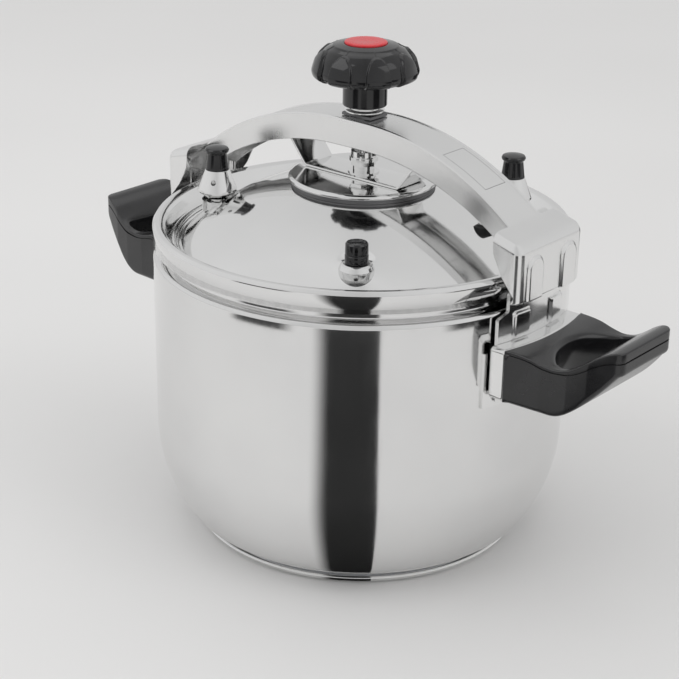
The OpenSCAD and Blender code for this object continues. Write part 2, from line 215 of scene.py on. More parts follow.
def lathe(name, profile, body, mat, centre=(0.0, 0.0), segs=96, replaces=(), closed=False):
    """Surface of revolution of an (r, z) profile; points on the axis become one vertex."""
    verts, rings = [], []
    for r, z in profile:
        if r < 1e-6:
            rings.append([len(verts)])
            verts.append((centre[0], centre[1], z))
        else:
            start = len(verts)
            for k in range(segs):
                a = TAU * k / segs
                verts.append((centre[0] + r * math.cos(a), centre[1] + r * math.sin(a), z))
            rings.append(list(range(start, start + segs)))
    return add_piece(name, verts, ring_faces(rings, closed), body, mat, replaces)


def loop_sweep(name, sections, body, mat, replaces=(), ring=False, caps=True):
    """Skin over a row of equal closed sections; ring joins the last to the first."""
    n = len(sections[0])
    verts = [p for s in sections for p in s]
    faces = []
    count = len(sections)
    for i in range(count if ring else count - 1):
        j = (i + 1) % count
        for k in range(n):
            m = (k + 1) % n
            faces.append((i * n + k, i * n + m, j * n + m, j * n + k))
    if caps and not ring:
        faces.append(tuple(range(n)))
        faces.append(tuple(range((count - 1) * n, count * n)))
    return add_piece(name, verts, faces, body, mat, replaces)


def apply_modifiers(obj):
    deps = bpy.context.evaluated_depsgraph_get()
    mesh = bpy.data.meshes.new_from_object(obj.evaluated_get(deps))
    obj.modifiers.clear()
    obj.data = mesh


def cut_round(obj, start, end, r, segs=32):
    """Cuts a round hole through obj between two points in millimetres."""
    a, b = Vector(start), Vector(end)
    d = (b - a).normalized()
    side = d.orthogonal().normalized()
    up = d.cross(side)
    verts, faces = [], []
    for p in (a, b):
        for k in range(segs):
            t = TAU * k / segs
            verts.append(tuple((p + side * (r * math.cos(t)) + up * (r * math.sin(t))) * MM))
    for k in range(segs):
        m = (k + 1) % segs
        faces.append((k, m, segs + m, segs + k))
    faces.append(tuple(reversed(range(segs))))
    faces.append(tuple(range(segs, 2 * segs)))
    mesh = bpy.data.meshes.new("cutter")
    mesh.from_pydata(verts, [], faces)
    clean_normals(mesh)
    cutter = linked("cutter", mesh)
    mod = obj.modifiers.new("cut", "BOOLEAN")
    mod.operation = "DIFFERENCE"
    mod.solver = "EXACT"
    mod.object = cutter
    apply_modifiers(obj)
    bpy.data.objects.remove(cutter)
    obj.data.shade_smooth()
    obj.data.set_sharp_from_angle(angle=math.radians(35))


# ---------------------------------------------------------------- materials
def new_material(name):
    mat = bpy.data.materials.new(name)
    mat.use_nodes = True
    nt = mat.node_tree
    nt.nodes.clear()
    out = nt.nodes.new("ShaderNodeOutputMaterial")
    bsdf = nt.nodes.new("ShaderNodeBsdfPrincipled")
    nt.links.new(bsdf.outputs[0], out.inputs[0])
    coord = nt.nodes.new("ShaderNodeTexCoord")
    return mat, nt, bsdf, coord


def noise(nt, coord, scale, detail=3.0, stretch=(1.0, 1.0, 1.0)):
    mapping = nt.nodes.new("ShaderNodeMapping")
    mapping.inputs["Scale"].default_value = stretch
    nt.links.new(coord.outputs["Object"], mapping.inputs["Vector"])
    tex = nt.nodes.new("ShaderNodeTexNoise")
    tex.inputs["Scale"].default_value = scale
    tex.inputs["Detail"].default_value = detail
    nt.links.new(mapping.outputs[0], tex.inputs["Vector"])
    return tex.outputs[0]


def span(nt, value, lo, hi, a=0.3, b=0.7):
    """Maps a texture value from a..b to lo..hi."""
    node = nt.nodes.new("ShaderNodeMapRange")
    node.inputs["From Min"].default_value = a
    node.inputs["From Max"].default_value = b
    node.inputs["To Min"].default_value = lo
    node.inputs["To Max"].default_value = hi
    nt.links.new(value, node.inputs["Value"])
    return node.outputs[0]


def tint(nt, value, dark, light):
    ramp = nt.nodes.new("ShaderNodeMix")
    ramp.data_type = "RGBA"
    ramp.inputs[6].default_value = (*dark, 1.0)
    ramp.inputs[7].default_value = (*light, 1.0)
    nt.links.new(value, ramp.inputs[0])
    return ramp.outputs[2]


def bump(nt, bsdf, height, strength, distance):
    node = nt.nodes.new("ShaderNodeBump")
    node.inputs["Strength"].default_value = strength
    node.inputs["Distance"].default_value = distance
    nt.links.new(height, node.inputs["Height"])
    nt.links.new(node.outputs[0], bsdf.inputs["Normal"])
    return node


def steel(name, rough_lo, rough_hi, dark, light, wave=0.15, dist=0.00004, scratch=0.02):
    """Polished sheet: cloudy wipe marks in the gloss, faint waviness and hairline scratches."""
    mat, nt, bsdf, coord = new_material(name)
    bsdf.inputs["Metallic"].default_value = 1.0
    cloud = noise(nt, coord, 14.0, 4.0)
    fine = noise(nt, coord, 420.0, 2.0, (1.0, 1.0, 0.12))
    nt.links.new(tint(nt, span(nt, cloud, 0.0, 1.0), dark, light), bsdf.inputs["Base Color"])
    add = nt.nodes.new("ShaderNodeMath")
    add.operation = "ADD"
    nt.links.new(span(nt, cloud, rough_lo, rough_hi), add.inputs[0])
    nt.links.new(span(nt, fine, 0.0, scratch), add.inputs[1])
    nt.links.new(add.outputs[0], bsdf.inputs["Roughness"])
    bump(nt, bsdf, noise(nt, coord, 9.0, 1.0), wave, dist)
    return mat


def phenolic(name, base_dark, base_light, rough_lo, rough_hi, pits):
    """Moulded black resin: slight mottling, uneven gloss and fine moulding texture."""
    mat, nt, bsdf, coord = new_material(name)
    cloud = noise(nt, coord, 60.0, 4.0)
    nt.links.new(tint(nt, span(nt, cloud, 0.0, 1.0), base_dark, base_light), bsdf.inputs["Base Color"])
    nt.links.new(span(nt, cloud, rough_lo, rough_hi), bsdf.inputs["Roughness"])
    bsdf.inputs["Specular IOR Level"].default_value = 0.55
    bump(nt, bsdf, noise(nt, coord, 900.0, 3.0), pits, 0.00006)
    return mat


def rubber(name, base_dark, base_light):
    mat, nt, bsdf, coord = new_material(name)
    cloud = noise(nt, coord, 45.0, 3.0)
    nt.links.new(tint(nt, span(nt, cloud, 0.0, 1.0), base_dark, base_light), bsdf.inputs["Base Color"])
    nt.links.new(span(nt, cloud, 0.5, 0.7), bsdf.inputs["Roughness"])
    bump(nt, bsdf, noise(nt, coord, 700.0, 2.0), 0.15, 0.00005)
    return mat


MIRROR = steel("mirror_steel", 0.05, 0.09, (0.80, 0.80, 0.80), (0.86, 0.86, 0.855))
BODY = steel("body_steel", 0.06, 0.10, (0.78, 0.78, 0.78), (0.84, 0.84, 0.835), scratch=0.03)
PRESSED = steel("pressed_steel", 0.13, 0.20, (0.80, 0.80, 0.80), (0.86, 0.86, 0.855), wave=0.3, dist=0.0001)
DARK = steel("dark_steel", 0.35, 0.5, (0.16, 0.16, 0.165), (0.24, 0.24, 0.245), scratch=0.08)
CORE = steel("aluminium_core", 0.3, 0.42, (0.70, 0.71, 0.73), (0.77, 0.78, 0.80), scratch=0.05)
BLACK = phenolic("black_phenolic", (0.006, 0.006, 0.007), (0.014, 0.014, 0.015), 0.07, 0.13, 0.06)
GRIP = phenolic("grip_phenolic", (0.010, 0.010, 0.011), (0.020, 0.020, 0.021), 0.15, 0.23, 0.12)
RED = phenolic("red_insert", (0.60, 0.015, 0.025), (0.72, 0.025, 0.035), 0.22, 0.34, 0.1)
SEAL = rubber("seal_white", (0.72, 0.72, 0.69), (0.82, 0.82, 0.79))
SEAL_DARK = rubber("seal_black", (0.012, 0.012, 0.012), (0.03, 0.03, 0.03))


def engraved_steel(name, box, line):
    """Beam steel with a fine engraved rectangle on the top face; box is x0, x1, y0, y1 in mm."""
    mat = steel(name, 0.20, 0.27, (0.80, 0.80, 0.80), (0.86, 0.86, 0.855), wave=0.2, dist=0.00006)
    nt = mat.node_tree
    bsdf = next(n for n in nt.nodes if n.type == "BSDF_PRINCIPLED")
    coord = next(n for n in nt.nodes if n.type == "TEX_COORD")
    split = nt.nodes.new("ShaderNodeSeparateXYZ")
    nt.links.new(coord.outputs["Object"], split.inputs[0])

    def math_node(op, a, b=None):
        node = nt.nodes.new("ShaderNodeMath")
        node.operation = op
        for i, v in enumerate((a, b)):
            if v is None:
                continue
            if isinstance(v, float):
                node.inputs[i].default_value = v
            else:
                nt.links.new(v, node.inputs[i])
        return node.outputs[0]

    x0, x1, y0, y1 = [v * MM for v in box]

    def past_side(value, lo, hi):
        centred = math_node("SUBTRACT", value, (lo + hi) / 2)
        return math_node("SUBTRACT", math_node("ABSOLUTE", centred), (hi - lo) / 2)

    dx = past_side(split.outputs[0], x0, x1)
    dy = past_side(split.outputs[1], y0, y1)
    edge = math_node("ABSOLUTE", math_node("MAXIMUM", dx, dy))
    mask = math_node("LESS_THAN", edge, line * MM / 2)
    old = bsdf.inputs["Base Color"].links[0].from_socket
    mix = nt.nodes.new("ShaderNodeMix")
    mix.data_type = "RGBA"
    nt.links.new(mask, mix.inputs[0])
    nt.links.new(old, mix.inputs[6])
    mix.inputs[7].default_value = (0.16, 0.16, 0.16, 1.0)
    nt.links.new(mix.outputs[2], bsdf.inputs["Base Color"])
    return mat


# ---------------------------------------------------------------- pot and base
pot_r = radius_mm("pot_shell")
pot_top = box_mm("pot_shell")[1][2]
pot_floor = box_mm("pot_shell")[0][2]
WALL = 1.8
CORNER_R = 26.0
FLANK_R = 90.0
FLANK_Z = 64.0
SHOULDER_Z = 163.0
NECK_R = 115.0
BEAD_R = 118.8


def pot_side(inset):
    """Outside of the pot in (r, z), moved inwards by an inset, from the floor up to the shoulder."""
    fx = pot_r - FLANK_R
    dz = FLANK_Z - pot_floor - CORNER_R
    dx = math.sqrt((FLANK_R - CORNER_R) ** 2 - dz * dz)
    cx, cz = fx + dx, pot_floor + CORNER_R
    join = math.degrees(math.atan2(-dz, dx))
    pts = [(0.0, pot_floor + inset)]
    pts += [(cx * k / 6, pot_floor + inset) for k in range(1, 6)]
    pts += arc(cx, cz, CORNER_R - inset, -90.0, join, 18)
    pts += arc(fx, FLANK_Z, FLANK_R - inset, join, 0.0, 20)[1:]
    pts += [(pot_r - inset, FLANK_Z + (SHOULDER_Z - FLANK_Z) * k / 8) for k in range(1, 8)]
    return pts


turn = SHOULDER_Z + 6.4
outer_top = fillet([(pot_r, SHOULDER_Z - 6), (pot_r, SHOULDER_Z + 4.6), (NECK_R, turn),
                    (NECK_R, pot_top - 2.2), (BEAD_R, pot_top - 2.2), (BEAD_R, pot_top),
                    (NECK_R - WALL, pot_top), (NECK_R - WALL, turn - 1.6),
                    (pot_r - WALL, SHOULDER_Z + 2.8), (pot_r - WALL, SHOULDER_Z - 6)],
                   [0, 3.0, 1.2, 0.8, 0.7, 0.7, 1.2, 1.2, 2.0, 0], 5)
lathe("pot_body", pot_side(0.0) + outer_top + list(reversed(pot_side(WALL))), "pot",
      BODY, segs=256, replaces=("pot_shell",))

cap_r = radius_mm("base_cap")
cap_h = box_mm("base_cap")[1][2]
core_r = radius_mm("base_core")
lathe("base_cap_skin", fillet([(0, 0), (cap_r - 3.6, 0), (cap_r - 0.6, 2.0), (cap_r, cap_h - 1.0),
                               (cap_r - 1.3, cap_h), (cap_r - 2.3, cap_h - 0.9),
                               (cap_r - 2.7, 2.8), (core_r + 0.1, 2.8), (core_r + 0.1, 0.9), (0, 0.9)],
                              [0, 2.0, 2.0, 0.6, 0.5, 0.4, 0.3, 0.2, 0.2, 0], 5),
      "pot", BODY, segs=256, replaces=("base_cap",))


# ---------------------------------------------------------------- ears, ferrules, handles
def mirrored(points, s):
    """Left side is the right side turned half a turn about the pot axis."""
    return [(s * x, s * y, z) for x, y, z in points]


EAR_IN = 122.8
EAR_T = 2.0
EAR_HALF = 32.0
EAR_NECK = 25.0
EAR_CORNER = 3.0
ear_box = box_mm("ear_plate_right")
EAR_Z0, EAR_Z1 = ear_box[0][2], ear_box[1][2]
LIP_R = ear_box[1][0]
RIB_Y = 16.0


def ear_sheet(name, s):
    """Bent plate with two pressed ribs, a narrower top and an outward lip."""
    r0 = EAR_IN + EAR_T
    path = [(r0, EAR_Z0 + 0.5 * k) for k in range(0, int((EAR_Z1 - 5.5 - EAR_Z0) * 2))]
    path += fillet([(r0, EAR_Z1 - 5.5), (r0, EAR_Z1 - 0.1), (LIP_R, EAR_Z1 - 0.1)], [0, 2.6, 0], 10)
    cols = 120
    front, back = [], []
    for r, z in path:
        half = EAR_HALF - (EAR_HALF - EAR_NECK) * smooth01(164.0, 168.5, z)
        below = 1.0 - smooth01(EAR_Z0, EAR_Z0 + EAR_CORNER, z)
        half -= EAR_CORNER * (1.0 - math.sqrt(max(0.0, 1.0 - below ** 2)))
        for k in range(cols + 1):
            y = half * (2.0 * k / cols - 1.0)
            d = max(abs(abs(y) - RIB_Y) - 5.2, 0.0)
            rib = 1.75 * smooth01(1.3, 0.0, math.hypot(d, max(152.6 - z, z - 166.0, 0.0)))
            turned = smooth01(r0 + 0.6, r0 + 2.2, r)
            if r > r0 + 0.6:
                rib = 0.0
            rr = r + rib
            front.append((math.sqrt(rr * rr - y * y), y, z))
            br = max(r - EAR_T * (1 - turned), EAR_IN) + rib
            back.append((math.sqrt(br * br - y * y), y, z - EAR_T * turned))
    n = cols + 1
    rows = len(path)
    verts = mirrored(front + back, s)
    off = len(front)
    faces = []
    for i in range(rows - 1):
        for k in range(cols):
            a = i * n + k
            faces.append((a, a + 1, a + n + 1, a + n))
            faces.append((off + a, off + a + n, off + a + n + 1, off + a + 1))
    rim = [k for k in range(n)] + [i * n + cols for i in range(1, rows)]
    rim += [(rows - 1) * n + k for k in range(cols - 1, -1, -1)] + [i * n for i in range(rows - 2, 0, -1)]
    for a, b in zip(rim, rim[1:] + rim[:1]):
        faces.append((a, off + a, off + b, b))
    obj = add_piece(name, verts, faces, None, PRESSED)
    obj.data.set_sharp_from_angle(angle=math.radians(50))
    finish_piece(obj, "pot", ("ear_plate_right" if s > 0 else "ear_plate_left",))


FER_HALF = 36.5
FER_T = 1.6
fer_box = box_mm("ferrule_right")
FER_Z0, FER_Z1 = fer_box[0][2], fer_box[1][2]
SLEEVE_R = fer_box[1][0]


def round_rect(half_y, z0, z1, r, steps=8, along=10):
    """Rounded rectangle in (y, z), with points along its long sides."""
    pts = fillet([(-half_y, z0), (half_y, z0), (half_y, z1), (-half_y, z1)], r, steps, closed=True)
    out = []
    for p, q in zip(pts, pts[1:] + pts[:1]):
        gap = math.dist(p, q)
        out += between(p, q, along if gap > 20 else (4 if gap > 8 else 1))
    return out


def ferrule_sleeve(name, s):
    r_in = EAR_IN + EAR_T + 0.05
    sections = []
    stations = [(r_in, 0.0), (r_in + 0.5, 0.0), (SLEEVE_R - 1.2, 0.0), (SLEEVE_R - 0.5, 0.1),
                (SLEEVE_R, 0.5), (SLEEVE_R, FER_T - 0.3), (SLEEVE_R - 0.5, FER_T), (r_in, FER_T)]
    for r, inset in stations:
        loop = round_rect(FER_HALF - inset, FER_Z0 + inset, FER_Z1 - inset, max(2.6 - inset, 1.0))
        sections.append(mirrored([(math.sqrt(r * r - y * y), y, z) for y, z in loop], s))
    loop_sweep(name, sections, "pot", MIRROR,
               ("ferrule_right" if s > 0 else "ferrule_left",), ring=True)


grip_box = box_mm("handle_right")
GRIP_X = grip_box[1][0]
GRIP_Z0, GRIP_Z1 = grip_box[0][2], grip_box[1][2]
SLOT_X = 160.0
SLOT_ARC_X = 177.5
SLOT_ARC_R = 33.5
SLOT_HALF = 28.0
SLOT_CUT_X = 170.0
SLOT_ROUND = 4.0
GRIP_TOP = [(126, GRIP_Z1 - 12.4), (136, GRIP_Z1 - 12.4), (143, GRIP_Z1 - 13), (150, GRIP_Z1 - 14.9),
            (158, GRIP_Z1 - 15.8), (165, GRIP_Z1 - 14.4), (170, GRIP_Z1 - 11.7), (175, GRIP_Z1 - 8.0),
            (180, GRIP_Z1 - 4.0), (187, GRIP_Z1 - 0.2), (GRIP_X, GRIP_Z1 - 0.5)]
GRIP_UNDER = [(126, GRIP_Z0 + 0.5), (150, GRIP_Z0 + 0.1), (158, GRIP_Z0 + 0.2), (163, GRIP_Z0 + 2.0),
              (168, GRIP_Z0 + 5.4), (173, GRIP_Z0 + 9.6), (178, GRIP_Z0 + 14.4), (184, GRIP_Z0 + 21.2),
              (189, GRIP_Z0 + 27.6), (GRIP_X, GRIP_Z0 + 31.8)]


GROOVE_DROP = [(150, 1.7), (160, 1.7), (GRIP_X - 6, 5.5)]


def in_slot(x, y):
    """True inside the D-shaped finger opening: an arc towards the pot, three straight sides."""
    r = SLOT_ARC_R - SLOT_ROUND
    px = min(x, SLOT_CUT_X - SLOT_ROUND)
    py = max(-SLOT_HALF + SLOT_ROUND, min(SLOT_HALF - SLOT_ROUND, y))
    out = math.hypot(px - SLOT_ARC_X, py)
    if out > r:
        px, py = SLOT_ARC_X + (px - SLOT_ARC_X) * r / out, py * r / out
    return math.hypot(x - px, y - py) < SLOT_ROUND


def slot_hit(dx, dy):
    """Distance from the slot's middle to its outline along a direction."""
    lo, hi = 0.0, 60.0
    for _ in range(40):
        mid = (lo + hi) / 2
        lo, hi = (mid, hi) if in_slot(SLOT_X + dx * mid, dy * mid) else (lo, mid)
    return lo


def grip_outline():
    """Plan outline of the handle, starting at the middle of the root arc."""
    arc_y = 36.4
    side = [(128.25, arc_y), (150, 35.0), (165, 33.0), (176, 30.6), (184, 27.8), (GRIP_X, 24.6),
            (GRIP_X, -24.6), (184, -27.8), (176, -30.6), (165, -33.0), (150, -35.0), (128.25, -arc_y)]
    side = fillet(side, [0, 8, 14, 10, 8, 7, 7, 8, 10, 14, 8, 0], 8)
    dense = []
    for p, q in zip(side, side[1:]):
        dense += between(p, q, max(1, int(math.dist(p, q) / 1.5)))
    dense.append(side[-1])
    root = []
    for k in range(1, 48):
        y = -arc_y + 2 * arc_y * k / 48
        root.append((math.sqrt((SLEEVE_R + 0.05) ** 2 - y * y), y))
    return dense + root


def grip_section(px, py):
    """Closed section of the handle from the slot outwards to an outline point."""
    dx, dy = px - SLOT_X, py
    far = math.hypot(dx, dy)
    dx, dy = dx / far, dy / far
    near = slot_hit(dx, dy)
    at_root = px < SLEEVE_R + 0.2 and abs(math.hypot(px, py) - SLEEVE_R) < 0.3

    def top(d):
        return soft_pieces(GRIP_TOP, min(SLOT_X + dx * d, GRIP_X - 2.5))

    def under(d):
        return soft_pieces(GRIP_UNDER, min(SLOT_X + dx * d, GRIP_X - 2.5))

    wide = far - near
    r_top = min(0.9, wide * 0.25) if not at_root else 0.6
    r_low = min(3.0, wide * 0.25) if not at_root else 0.6
    r_in = min(3.2, wide * 0.3)
    loop = []
    runs = 12
    for k in range(7):
        a = math.radians(180 - 90 * k / 6)
        d = near + r_in + r_in * math.cos(a)
        loop.append((d, top(d) - r_in + r_in * math.sin(a)))
    for k in range(1, runs):
        d = near + r_in + (wide - r_in - r_top) * k / runs
        loop.append((d, top(d)))
    for k in range(7):
        a = math.radians(90 - 90 * k / 6)
        d = far - r_top + r_top * math.cos(a)
        loop.append((d, top(d) - r_top + r_top * math.sin(a)))
    zt, zb = top(far), under(far)
    g = zt - pieces(GROOVE_DROP, px)
    depth = 0.0 if at_root else 0.7
    loop += [(far, g + 0.55), (far - depth, g + 0.35), (far - depth, g - 0.35), (far, g - 0.55)]
    low = zb + r_low
    for k in range(1, 8):
        loop.append((far, g - 0.55 + (low - (g - 0.55)) * k / 8))
    for k in range(7):
        a = math.radians(-90 * k / 6)
        d = far - r_low + r_low * math.cos(a)
        loop.append((d, under(d) + r_low + r_low * math.sin(a)))
    for k in range(1, runs):
        d = far - r_low - (wide - r_in - r_low) * k / runs
        loop.append((d, under(d)))
    for k in range(7):
        a = math.radians(270 - 90 * k / 6)
        d = near + r_in + r_in * math.cos(a)
        loop.append((d, under(d) + r_in + r_in * math.sin(a)))
    a, b = loop[-1], loop[0]
    for k in range(1, 6):
        loop.append((a[0] + (b[0] - a[0]) * k / 6, a[1] + (b[1] - a[1]) * k / 6))
    return [(SLOT_X + dx * d, dy * d, z) for d, z in loop]


def handle_grip(name, s):
    sections = [mirrored(grip_section(*p), s) for p in grip_outline()]
    obj = loop_sweep(name, sections, None, GRIP, ring=True)
    obj.data.set_sharp_from_angle(angle=math.radians(48))
    finish_piece(obj, "pot", ("handle_right" if s > 0 else "handle_left",))


for side_name, side_sign in (("right", 1), ("left", -1)):
    ear_sheet("ear_sheet_" + side_name, side_sign)
    ferrule_sleeve("ferrule_sleeve_" + side_name, side_sign)
    handle_grip("grip_" + side_name, side_sign)


# ---------------------------------------------------------------- beam and claws
beam_box = box_mm("arch_beam")
BEAM_HALF = beam_box[1][1]
BEAM_TOP = beam_box[1][2]
BEAM_LOW = beam_box[0][2]
BEAM_END = beam_box[1][0]
BEAM_RHO = 160.0
BEAM_FLAT = 10.0
BEAM_DEPTH = 16.0
BEAM_EDGE_R = 1.2
BEAM_SUNK = 0.45
SHEET = 2.0


def beam_z(x):
    return BEAM_TOP - BEAM_RHO + math.sqrt(BEAM_RHO ** 2 - max(abs(x) - BEAM_FLAT, 0.0) ** 2)


def beam_section(x):
    """Channel section: flat top slightly sunk between two rounded edges, and two side flanges."""
    z0 = beam_z(x)
    drop = BEAM_RHO / (z0 - BEAM_TOP + BEAM_RHO)
    low = BEAM_DEPTH
    if z0 - low < BEAM_LOW:
        low = max(z0 - BEAM_LOW, 2.5)
    h, r = BEAM_HALF, BEAM_EDGE_R
    sunk = BEAM_SUNK
    inner = h - SHEET
    out = [(0.0, sunk), (h * 0.4, sunk), (h - 2.6, sunk), (h - 2.1, sunk), (h - 1.9, 0.08), (h - 1.7, 0.0)]
    out += arc(h - r, r, r, -90.0, 0.0, 6)
    out += [(h, low * 0.4), (h, low * 0.7), (h, low - 0.5), (h - 0.3, low - 0.1), (h - SHEET / 2, low),
            (inner + 0.3, low - 0.1), (inner, low - 0.5), (inner, low * 0.5), (inner, SHEET + 1.2),
            (inner - 0.4, SHEET + 0.4), (inner - 1.2, SHEET), (h * 0.4, SHEET), (0.0, SHEET)]
    half = [(y, z0 - d * (drop if d < 3.0 else 1.0)) for y, d in out]
    ring = [(x, y, z) for y, z in half] + [(x, -y, z) for y, z in reversed(half[1:-1])]
    return ring


stations = [BEAM_END * (2.0 * k / 220 - 1.0) for k in range(221)]
mark = (62.0, 91.0, -8.0, 10.0)  # x0, x1, y0, y1 of the engraved rectangle
beam = loop_sweep("beam_channel", [beam_section(x) for x in stations], None,
                  engraved_steel("beam_steel", mark, 0.25))
BEAM_HOLE_R = 9.5
cut_round(beam, (0, 0, BEAM_TOP - 6), (0, 0, BEAM_TOP + 6), BEAM_HOLE_R, 64)
finish_piece(beam, "beam", ("arch_beam",))

claw_box = box_mm("claw_right")
CLAW_HALF = claw_box[1][1]
CLAW_LOW = claw_box[0][2]
CLAW_TOP = claw_box[1][2]
CLAW_IN = claw_box[0][0]
CLAW_OUT = 130.5
CLAW_EDGE_Z = 206.2
CLAW_R = 5.2
CLAW_LIP_R = 1.2
CHEEK = [(CLAW_LOW, 125.6), (176.3, 126.6), (178.2, 127.4), (182.0, 124.4), (187.8, 119.6), (192.0, 117.0),
         (197.0, CLAW_IN + 0.4), (200.0, CLAW_IN), (CLAW_TOP, CLAW_IN)]


def claw_round(x, y, z):
    """Sharp box point moved onto the rounded box, then sheared so that the top rises inwards."""
    r = CLAW_R
    cx = min(x, CLAW_OUT - r)
    cy = max(-CLAW_HALF + r, min(CLAW_HALF - r, y))
    rz = CLAW_LIP_R
    cz = min(z, CLAW_EDGE_Z - r)
    v = Vector((x - cx, y - cy, z - cz))
    if v.length > 1e-6 and (x > CLAW_OUT - r or z > CLAW_EDGE_Z - r or abs(y) > CLAW_HALF - r):
        v = v.normalized() * r
    x, y, z = cx + v.x, cy + v.y, cz + v.z
    if z < CLAW_LOW + rz and x > CLAW_OUT - r:
        x -= rz * (1.0 - math.sqrt(max(0.0, 1.0 - ((CLAW_LOW + rz - z) / rz) ** 2)))
    rise = (CLAW_TOP - CLAW_EDGE_Z) / (CLAW_OUT - CLAW_IN)
    z += rise * (CLAW_OUT - x) * smooth01(188.0, CLAW_EDGE_Z - 1.0, z)
    if x > CLAW_OUT - 1.5:
        d = math.hypot(abs(y) - 15.5, max(z - 192.0, 0.0)) - 6.6
        x += 1.5 * smooth01(0.9, -0.8, d)
    return x, y, z


HOOK_R = 125.6
HOOK_CLEAR = 2.2


def stops(a, b, n, ends):
    """Positions from a to b, closer together next to the ends that are rounded."""
    vals = [a + (b - a) * k / n for k in range(n + 1)]
    for end in ends:
        sign = 1.0 if end == a else -1.0
        vals += [end + sign * CLAW_R * t for t in (0.12, 0.25, 0.4, 0.55, 0.7, 0.85, 1.0)]
    return sorted(set(round(v, 4) for v in vals))


def claw_sheet(name, s):
    verts, faces = [], []

    def patch(rows):
        faces.extend(grid_faces(len(rows) - 1, len(rows[0]) - 1, len(verts)))
        for row in rows:
            verts.extend(row)

    ys = stops(-CLAW_HALF, CLAW_HALF, 90, (-CLAW_HALF, CLAW_HALF))
    zs = stops(CLAW_LOW, CLAW_EDGE_Z, 60, (CLAW_EDGE_Z,))
    xs = stops(CLAW_IN, CLAW_OUT, 16, (CLAW_OUT,))
    depths = [(CLAW_OUT - x) / (CLAW_OUT - CLAW_IN) for x in xs]
    patch([[claw_round(CLAW_OUT, y, z) for y in ys] for z in zs])
    patch([[claw_round(x, y, CLAW_EDGE_Z) for y in ys] for x in xs])
    for side in (-1, 1):
        patch([[claw_round(CLAW_OUT - d * (CLAW_OUT - pieces(CHEEK, z)), side * CLAW_HALF, z)
                for d in depths] for z in zs])
    lip = [(claw_round(CLAW_OUT, y, CLAW_LOW), y) for y in ys if abs(y) <= CLAW_HALF - HOOK_CLEAR]
    patch([[(p[0] + (math.sqrt(HOOK_R ** 2 - y * y) - p[0]) * k / 6, p[1], p[2]) for p, y in lip]
           for k in range(7)])
    obj = add_piece(name, mirrored(verts, s), faces, None, PRESSED)
    clean_normals(obj.data, 0.03)
    bm = bmesh.new()
    bm.from_mesh(obj.data)
    centre = Vector((s * (CLAW_IN + 4) * MM, 0, 190 * MM))
    out = sum(1 if f.normal.dot(f.calc_center_median() - centre) > 0 else -1 for f in bm.faces)
    if out < 0:
        bmesh.ops.reverse_faces(bm, faces=bm.faces)
    bm.to_mesh(obj.data)
    bm.free()
    obj.data.shade_smooth()
    mod = obj.modifiers.new("thick", "SOLIDIFY")
    mod.thickness = 1.9 * MM
    mod.offset = -1.0
    mod.use_even_offset = True
    mod.thickness_clamp = 1.0
    apply_modifiers(obj)
    obj.data.shade_smooth()
    obj.data.set_sharp_from_angle(angle=math.radians(50))
    finish_piece(obj, "beam", ("claw_right" if s > 0 else "claw_left",))


claw_sheet("claw_sheet_right", 1)
claw_sheet("claw_sheet_left", -1)


# ---------------------------------------------------------------- lid
ring_top = 186.6
seat_box = box_mm("seat_disc")
seat_r = radius_mm("seat_disc")
SEAT_TOP = seat_box[1][2]
SEAT_Z = seat_box[0][2] + 1.0
SEAT_WALL_R = 41.8
DOME_R = 161.0
DOME_C = SEAT_TOP + 0.1 - DOME_R
LID_T = 1.6
PAD_R = 10.3
PAD_H = 2.6
left_c = centre_mm("weight_left")
right_c = centre_mm("weight_right")
safe_c = centre_mm("safety_valve_cap")


def dome_z(r):
    return DOME_C + math.sqrt(DOME_R ** 2 - r * r)


def lid_height(x, y, z):
    """Dome height with the three level pads pressed into its uphill side."""
    for c in (left_c, right_c, safe_c):
        d = math.hypot(x - c[0], y - c[1])
        if d < PAD_R + 2.2:
            flat = dome_z(math.hypot(*c)) + PAD_H
            if z > flat:
                z = flat + (z - flat) * smooth01(PAD_R - 2.8, PAD_R + 2.2, d)
    return z


def lid_top_profile():
    radii = [20 + (106.6 - 20) * k / 150 for k in range(151)]
    pts = [(r, dome_z(r)) for r in radii]
    tail = fillet([(106.6, dome_z(106.6)), (107.4, 177.4), (108.6, 175.1), (110.4, 175.1),
                   (112.0, 179.2), (113.6, 183.4), (115.0, ring_top - 0.9), (117.0, ring_top),
                   (pot_r - 1.6, ring_top), (pot_r, ring_top - 1.9), (pot_r, 174.6)],
                  [0, 1.0, 1.0, 1.4, 1.5, 1.5, 1.5, 1.5, 1.2, 1.2, 0], 6)
    return pts + tail[1:]


def lid_under_profile():
    tail = fillet([(pot_r - LID_T, 174.6), (pot_r - LID_T, 182.6), (pot_r - 3.2, ring_top - LID_T),
                   (117.2, ring_top - LID_T), (115.6, 183.4), (113.7, 179.4), (112.6, 176.4),
                   (110.9, 173.6), (108.6, 173.6), (106.4, 175.2), (104.8, dome_z(104.8) - LID_T - 0.2)],
                  [0, 2.0, 1.5, 1.5, 1.5, 1.5, 1.5, 1.5, 1.5, 1.0, 0], 5)
    radii = [104 - (104 - 20) * k / 60 for k in range(61)]
    return tail + [(r, dome_z(r) - LID_T - 0.2) for r in radii]


LID_SEGS = 512
lid_verts, lid_rings = [], []
top = lid_top_profile()
under = lid_under_profile()
for i, (r, z) in enumerate(top + under):
    lid_rings.append(list(range(i * LID_SEGS, (i + 1) * LID_SEGS)))
    for k in range(LID_SEGS):
        a = TAU * k / LID_SEGS
        x, y = r * math.cos(a), r * math.sin(a)
        zz = z
        if r < 106.5:
            shift = 0.0 if i < len(top) else LID_T + 0.2
            zz = lid_height(x, y, z + shift) - shift
        lid_verts.append((x, y, zz))
add_piece("lid_sheet", lid_verts, ring_faces(lid_rings, closed=True), "lid", MIRROR,
          ("lid_shell",))

